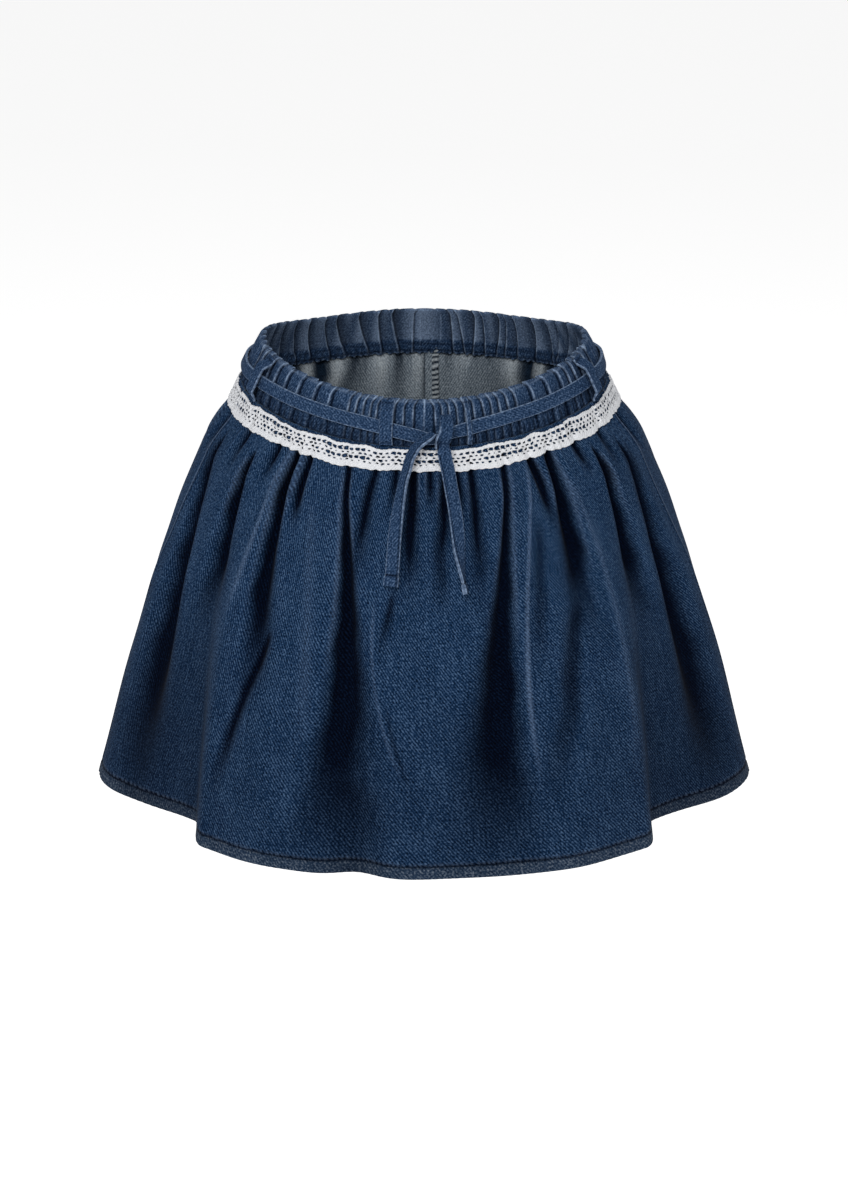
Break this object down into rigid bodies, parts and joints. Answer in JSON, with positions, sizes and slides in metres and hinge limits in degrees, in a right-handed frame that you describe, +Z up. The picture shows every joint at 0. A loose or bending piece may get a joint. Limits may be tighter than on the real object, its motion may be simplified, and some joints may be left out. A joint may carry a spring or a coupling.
{
  "type": "skort",
  "caption": "Flared child's denim skort, hollow as worn: gathered elastic waist, knotted self-fabric tie in belt loops, white lace trim, turned hem and plain inner shorts.",
  "frame": {"origin": "middle of the waist opening, level with the top edge at the centre front", "axes": "+Z up, -Y the front, +X the picture's right"},
  "size_m": [0.3637, 0.27, 0.257],
  "materials": {
    "denim": "dark indigo denim, face side, lightly washed, with paler folded edges",
    "denim_inside": "grey reverse of the indigo denim",
    "cotton_lace": "white cotton lace, matt"
  },
  "bodies": {
    "root": {"casing_front": "denim", "casing_back": "denim", "skirt_front": "denim", "skirt_back": "denim", "belt_round": "denim", "knot": "denim", "tail_left": "denim", "tail_right": "denim", "loop_side_left": "denim", "loop_side_right": "denim", "loop_front_left": "denim", "loop_front_right": "denim", "loop_back": "denim", "shorts_left": "denim_inside", "shorts_right": "denim_inside", "seat_seam_allowance": "denim_inside", "lace_front": "cotton_lace", "lace_back": "cotton_lace"}
  },
  "joints": []
}
